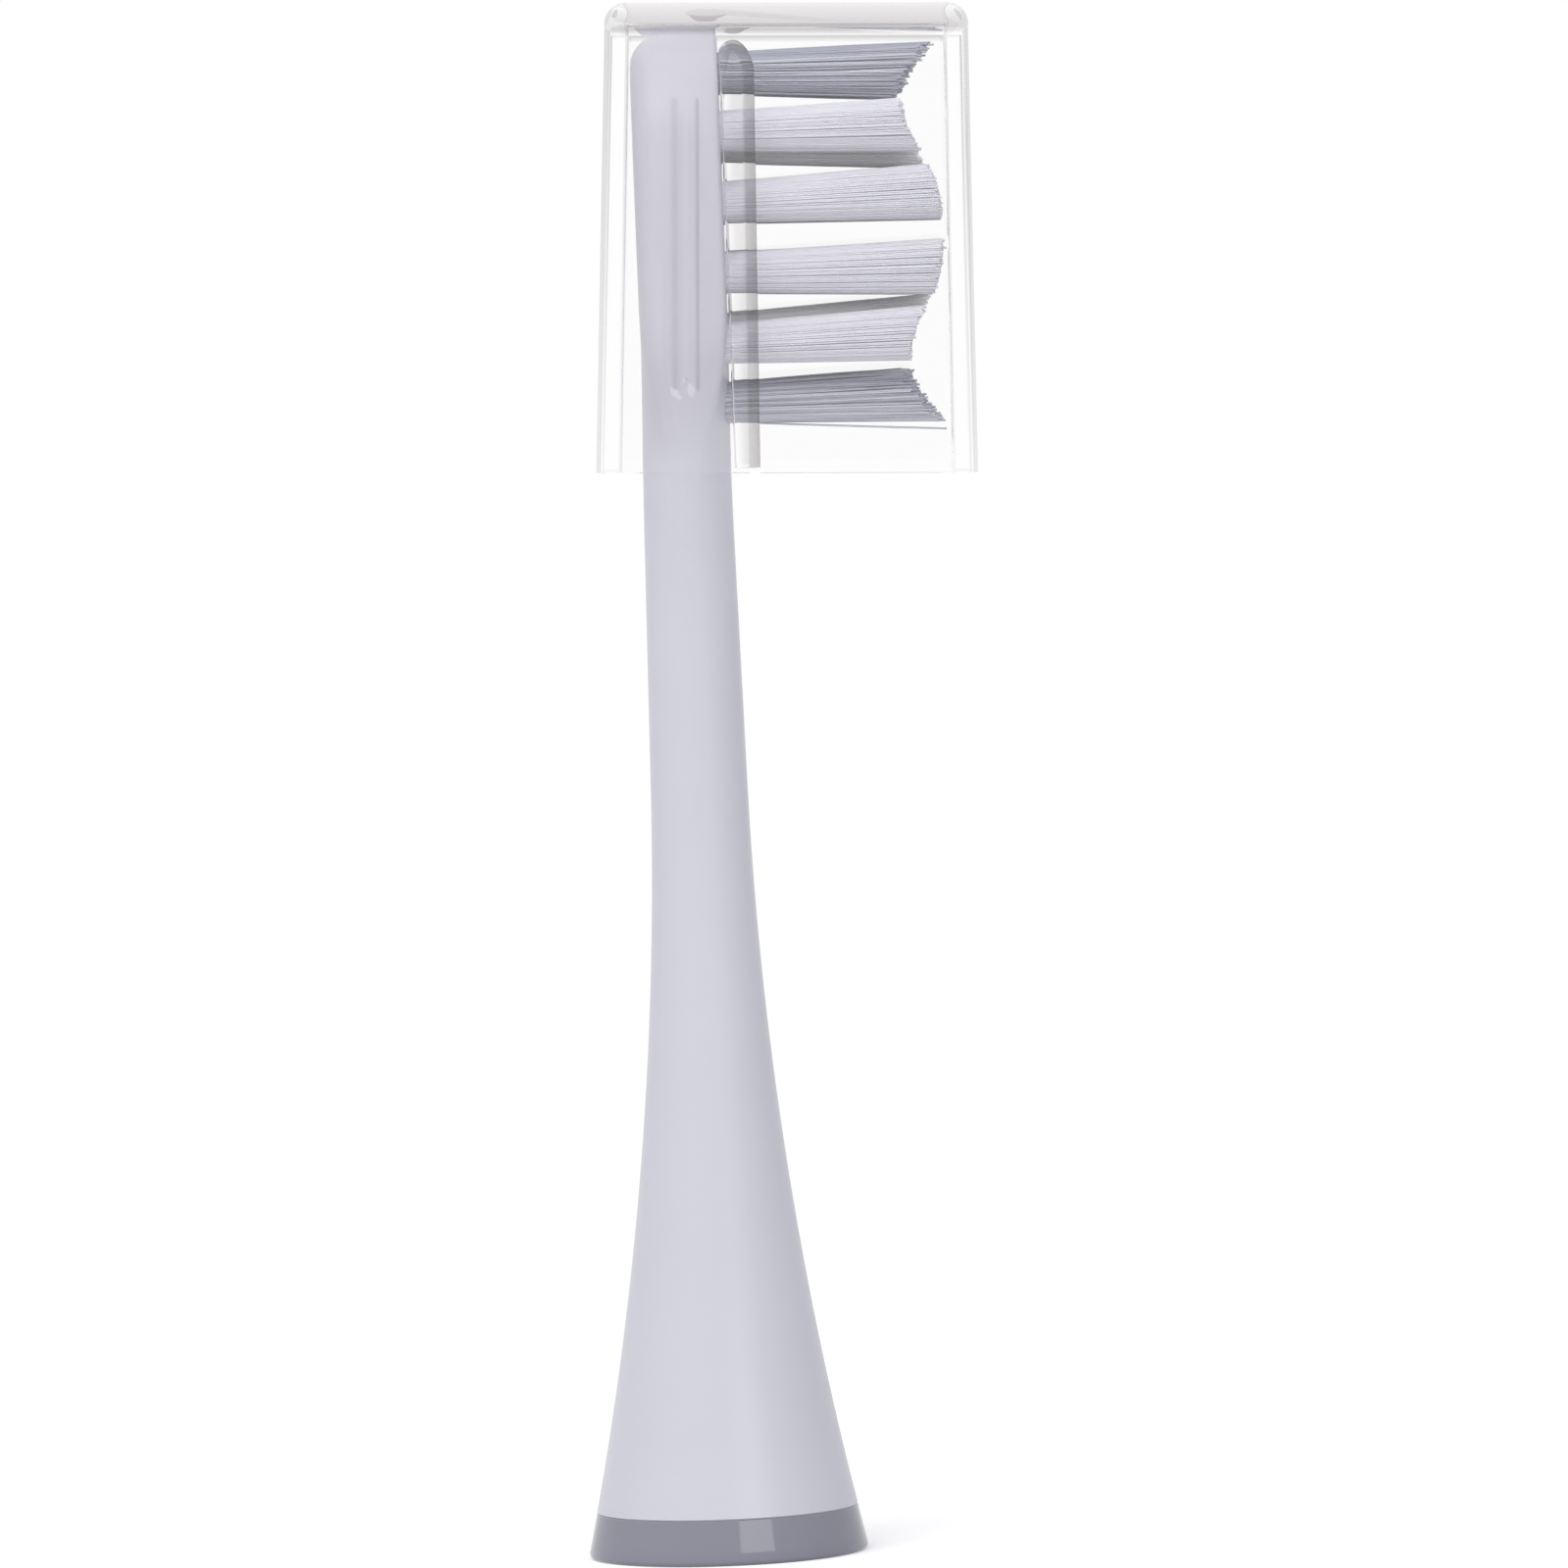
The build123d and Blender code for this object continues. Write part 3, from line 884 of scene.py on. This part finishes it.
def moulded_plastic(name, colour, drift, gloss, grain, ripple):
    """Plastic with a drifting colour, grain in its gloss and a faint ripple."""
    material, nodes, links, principled = new_material(name)
    darker = [channel * (1 - drift) for channel in colour]
    lighter = [channel * (1 + drift) for channel in colour]
    colours = ramp(nodes, links, noise(nodes, links, 160, 3), darker, lighter)
    links.new(colours, principled.inputs["Base Color"])
    roughness = spread(nodes, links, noise(nodes, links, 300, 2), gloss - grain, gloss + grain)
    links.new(roughness, principled.inputs["Roughness"])
    bump = nodes.new("ShaderNodeBump")
    bump.inputs["Strength"].default_value = ripple
    bump.inputs["Distance"].default_value = 0.05 * mm
    links.new(noise(nodes, links, 900, 2), bump.inputs["Height"])
    links.new(bump.outputs["Normal"], principled.inputs["Normal"])
    principled.inputs["IOR"].default_value = 1.49
    principled.inputs["Specular IOR Level"].default_value = 0.4
    return material


white_plastic = moulded_plastic("white_moulding", (0.64, 0.64, 0.71), 0.012, 0.33, 0.03, 0.03)
grey_plastic = moulded_plastic("grey_moulding", (0.255, 0.257, 0.31), 0.02, 0.08, 0.02, 0.03)
socket_plastic = moulded_plastic("socket_moulding", (0.6, 0.6, 0.58), 0.03, 0.45, 0.06, 0.15)
dress(brush_body, "head", "white_plastic", white_plastic, "brush_body")
dress(base_ring, "head", "grey_plastic", grey_plastic, "base_ring")
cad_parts["drive_socket"].material_slots[0].material = socket_plastic
print("plastics:", white_plastic.name, grey_plastic.name, socket_plastic.name)

# %% [markdown]
# The clip and the anchors are metal and sit out of sight, but an opened model shows them. Rolled
# strip and cut wire carry fine lines along the rolling direction, so the noise is stretched.

# %% Metals
def rolled_metal(name, colour, gloss, stretch):
    """Metal with fine lines along one direction."""
    material, nodes, links, principled = new_material(name)
    lines = noise(nodes, links, 900, 4, stretch)
    darker = [channel * 0.85 for channel in colour]
    links.new(ramp(nodes, links, lines, darker, colour), principled.inputs["Base Color"])
    links.new(spread(nodes, links, lines, gloss - 0.08, gloss + 0.08), principled.inputs["Roughness"])
    principled.inputs["Metallic"].default_value = 1
    return material


spring_steel = rolled_metal("rolled_spring_steel", (0.6, 0.6, 0.61), 0.3, (4, 4, 0.3))
anchor_brass = rolled_metal("cut_anchor_brass", (0.72, 0.56, 0.27), 0.35, (4, 4, 0.3))
for name, metal in (("spring_clip", spring_steel), ("tuft_anchors", anchor_brass)):
    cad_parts[name].material_slots[0].material = metal
print("metals:", spring_steel.name, anchor_brass.name)

# %% [markdown]
# No two filaments are quite alike. Each one carries its own tone as an attribute, and a second one
# says how far along it a point lies, so the colour darkens a little towards the root, a painted shade
# where the plate and the close filaments shade it, and lightens towards the cut tip.

# %% Filaments
def nylon(name, dark, light, root_shade):
    """Nylon whose tone changes from filament to filament and darkens towards the root as painted shade."""
    material, nodes, links, principled = new_material(name)
    tone = nodes.new("ShaderNodeAttribute")
    tone.attribute_name = "strand_tone"
    run = nodes.new("ShaderNodeAttribute")
    run.attribute_name = "strand_run"
    colours = ramp(nodes, links, tone.outputs["Fac"], dark, light, 0, 1)
    # Painted shade: the colour darkens towards the root, where the plate shades the filaments.
    depth = ramp(nodes, links, run.outputs["Fac"], (root_shade,) * 3, (1, 1, 1), 0.05, 0.4)
    mix = nodes.new("ShaderNodeMix")
    mix.data_type = "RGBA"
    mix.blend_type = "MULTIPLY"
    mix.inputs["Factor"].default_value = 1
    links.new(colours, mix.inputs["A"])
    links.new(depth, mix.inputs["B"])
    links.new(mix.outputs["Result"], principled.inputs["Base Color"])
    streaks = noise(nodes, links, 2500, 3, (0.05, 1, 1))
    links.new(spread(nodes, links, streaks, 0.32, 0.48), principled.inputs["Roughness"])
    principled.inputs["IOR"].default_value = 1.53
    principled.inputs["Specular IOR Level"].default_value = 0.3
    return material


white_nylon = nylon("white_nylon", (0.8, 0.8, 0.86), (0.85, 0.85, 0.91), 0.95)
# The light end of grey_nylon is near white; the centre tufts use it as painted light.
grey_nylon = nylon("grey_nylon", (0.39, 0.405, 0.5), (0.97, 0.975, 0.99), 0.95)
for name, piece in bundles.items():
    if name.startswith("edge"):
        dress(piece, "head", "white_bristle", white_nylon, name)
    else:
        dress(piece, "head", "grey_bristle", grey_nylon, name)
print("dressed tufts:", len(bundles))

# %% [markdown]
# The cap is clear plastic. It bends what is seen through it, so it stays a real refracting solid with
# a wall. Lamps would find no way through such a wall, so for shadow rays it counts as a clear film,
# and the brush inside is lit as it would be. A ray that is thrown to and fro inside the wall leaves
# through a film of its own, because it would end in black where the real edge is only a soft grey.

# %% Clear plastic
def clear_plastic_material():
    """Clear plastic with fine moulding ripple and painted shade at its turns, which lets lamps through."""
    material, nodes, links, principled = new_material("clear_moulding")
    shade = nodes.new("ShaderNodeAttribute")
    shade.attribute_name = "edge_shade"
    # Painted shade: the edge_shade attribute darkens the clear colour here and the film of trapped rays
    # below.
    clear = ramp(nodes, links, shade.outputs["Fac"], (0.995, 0.993, 0.993), (0.2, 0.18, 0.19), 0, 1)
    links.new(clear, principled.inputs["Base Color"])
    edges = ramp(nodes, links, shade.outputs["Fac"], (0.94, 0.925, 0.935), (0.5, 0.48, 0.5), 0, 1)
    principled.inputs["Transmission Weight"].default_value = 1
    principled.inputs["IOR"].default_value = 1.49
    roughness = spread(nodes, links, noise(nodes, links, 900, 3), 0.0, 0.03)
    links.new(roughness, principled.inputs["Roughness"])
    bump = nodes.new("ShaderNodeBump")
    bump.inputs["Strength"].default_value = 0.02
    bump.inputs["Distance"].default_value = 0.05 * mm
    links.new(noise(nodes, links, 350, 1), bump.inputs["Height"])
    links.new(bump.outputs["Normal"], principled.inputs["Normal"])
    path = nodes.new("ShaderNodeLightPath")
    trapped = nodes.new("ShaderNodeMath")
    trapped.operation = "GREATER_THAN"
    trapped.inputs[1].default_value = 0.5
    links.new(path.outputs["Glossy Depth"], trapped.inputs[0])
    surface = principled.outputs["BSDF"]
    for rays in (trapped.outputs["Value"], path.outputs["Is Shadow Ray"]):
        film = nodes.new("ShaderNodeBsdfTransparent")
        film.inputs["Color"].default_value = (0.955, 0.95, 0.96, 1)
        mix = nodes.new("ShaderNodeMixShader")
        links.new(rays, mix.inputs["Fac"])
        links.new(surface, mix.inputs[1])
        links.new(film.outputs["BSDF"], mix.inputs[2])
        if rays == trapped.outputs["Value"]:
            links.new(edges, film.inputs["Color"])
        surface = mix.outputs["Shader"]
    links.new(surface, nodes["Material Output"].inputs["Surface"])
    return material


clear_plastic = clear_plastic_material()
dress(travel_cap, "cap", "clear_plastic", clear_plastic, "travel_cap")
print("clear piece:", travel_cap.name)

# %% [markdown]
# The photograph is a plain studio shot on white. A matt floor carries the soft shadow, and what
# the camera, a reflection or the clear cap sees of floor and sky is white, while the light that
# falls on the object stays at a plain level.

# %% Floor and sky
sky_light = 0.78
sky_right = (0.5, 0.5, 0.55)
sky_left = (0.84, 0.84, 0.87)
floor_colour = 0.8
floor_size = 6
floor_fill = 0.4
shadow_reach = 0.12
shadow_end = 0.4


def seen_rays(nodes, links):
    """One for rays of the camera, and for those that it sends on by reflections and through the cap."""
    path = nodes.new("ShaderNodeLightPath")
    total = path.outputs["Is Camera Ray"]
    for kind in ("Is Glossy Ray", "Is Transmission Ray"):
        most = nodes.new("ShaderNodeMath")
        most.operation = "MAXIMUM"
        links.new(total, most.inputs[0])
        links.new(path.outputs[kind], most.inputs[1])
        total = most.outputs["Value"]
    direct = nodes.new("ShaderNodeMath")
    direct.operation = "LESS_THAN"
    direct.inputs[1].default_value = 0.5
    links.new(path.outputs["Diffuse Depth"], direct.inputs[0])
    seen = nodes.new("ShaderNodeMath")
    seen.operation = "MULTIPLY"
    links.new(total, seen.inputs[0])
    links.new(direct.outputs["Value"], seen.inputs[1])
    return seen.outputs["Value"]


world = bpy.data.worlds.new("studio")
bpy.context.scene.world = world
world.use_nodes = True
sky_nodes = world.node_tree.nodes
sky_links = world.node_tree.links
sky_place = sky_nodes.new("ShaderNodeTexCoord")
sky_heading = sky_nodes.new("ShaderNodeSeparateXYZ")
sky_links.new(sky_place.outputs["Generated"], sky_heading.inputs["Vector"])
across = sky_nodes.new("ShaderNodeMapRange")
across.inputs["From Min"].default_value = -1
sky_links.new(sky_heading.outputs["X"], across.inputs["Value"])
lighting = sky_nodes["Background"]
lighting.inputs["Strength"].default_value = sky_light
light_colour = ramp(sky_nodes, sky_links, across.outputs["Result"], sky_left, sky_right, 0.1, 0.9)
light_colour.node.color_ramp.elements.new(0.35).color = (1, 1, 1, 1)
sky_links.new(light_colour, lighting.inputs["Color"])
backdrop = sky_nodes.new("ShaderNodeBackground")
backdrop.inputs["Color"].default_value = (1, 1, 1, 1)
sky_mix = sky_nodes.new("ShaderNodeMixShader")
sky_links.new(seen_rays(sky_nodes, sky_links), sky_mix.inputs["Fac"])
sky_links.new(lighting.outputs["Background"], sky_mix.inputs[1])
sky_links.new(backdrop.outputs["Background"], sky_mix.inputs[2])
sky_links.new(sky_mix.outputs["Shader"], sky_nodes["World Output"].inputs["Surface"])

start_piece()
bpy.ops.mesh.primitive_plane_add(size=floor_size)
floor = bpy.context.object
floor.name = "studio_floor"
floor_material, floor_nodes, floor_links, floor_shader = new_material("floor_paper")
floor_shader.inputs["Base Color"].default_value = (floor_colour, floor_colour, floor_colour, 1)
floor_shader.inputs["Roughness"].default_value = 1
floor_shader.inputs["Specular IOR Level"].default_value = 0
glow = floor_nodes.new("ShaderNodeEmission")
floor_links.new(seen_rays(floor_nodes, floor_links), glow.inputs["Strength"])
glow.inputs["Color"].default_value = (floor_fill, floor_fill, floor_fill, 1)
floor_sum = floor_nodes.new("ShaderNodeAddShader")
floor_links.new(floor_shader.outputs["BSDF"], floor_sum.inputs[0])
floor_links.new(glow.outputs["Emission"], floor_sum.inputs[1])
far_white = floor_nodes.new("ShaderNodeEmission")
floor_place = floor_nodes.new("ShaderNodeTexCoord")
distance = floor_nodes.new("ShaderNodeVectorMath")
distance.operation = "LENGTH"
floor_links.new(floor_place.outputs["Object"], distance.inputs[0])
fade = floor_nodes.new("ShaderNodeMapRange")
fade.interpolation_type = "SMOOTHSTEP"
fade.inputs["From Min"].default_value = shadow_reach
fade.inputs["From Max"].default_value = shadow_end
floor_links.new(distance.outputs["Value"], fade.inputs["Value"])
floor_links.new(seen_rays(floor_nodes, floor_links), fade.inputs["To Max"])
floor_mix = floor_nodes.new("ShaderNodeMixShader")
floor_links.new(fade.outputs["Result"], floor_mix.inputs["Fac"])
floor_links.new(floor_sum.outputs["Shader"], floor_mix.inputs[1])
floor_links.new(far_white.outputs["Emission"], floor_mix.inputs[2])
floor_links.new(floor_mix.outputs["Shader"], floor_nodes["Material Output"].inputs["Surface"])
floor.data.materials.append(floor_material)
print("sky light:", sky_light)

# %% [markdown]
# Two soft boxes light the brush from the camera's side. The large one on the left gives the form its
# light, and the upright one on the right is the strip that shows in the glossy skirt and ring.

# %% Lamps
object_middle = Vector((4, 0, 43)) * mm


def soft_box(name, place, width, height, brightness):
    """A rectangular lamp aimed at the object, as bright as a white sheet times the brightness."""
    data = bpy.data.lights.new(name, "AREA")
    data.shape = "RECTANGLE"
    data.size = width
    data.size_y = height
    data.energy = brightness * pi * width * height
    lamp = bpy.data.objects.new(name, data)
    bpy.context.scene.collection.objects.link(lamp)
    lamp.location = place
    lamp.rotation_mode = "QUATERNION"
    lamp.rotation_quaternion = (object_middle - Vector(place)).to_track_quat("-Z", "Y")
    return lamp


soft_box("key_box", (-0.75, -1.1, 1.4), 1.2, 1.2, 2.5)
soft_box("strip_box", (0.47, -1.0, 0.5), 0.6, 0.45, 3.0)

# %% [markdown]
# Colours should come out as they are written, so the view transform is the plain one, and the last
# cell sets it.

# %% View transform
bpy.context.scene.view_settings.view_transform = "Standard"
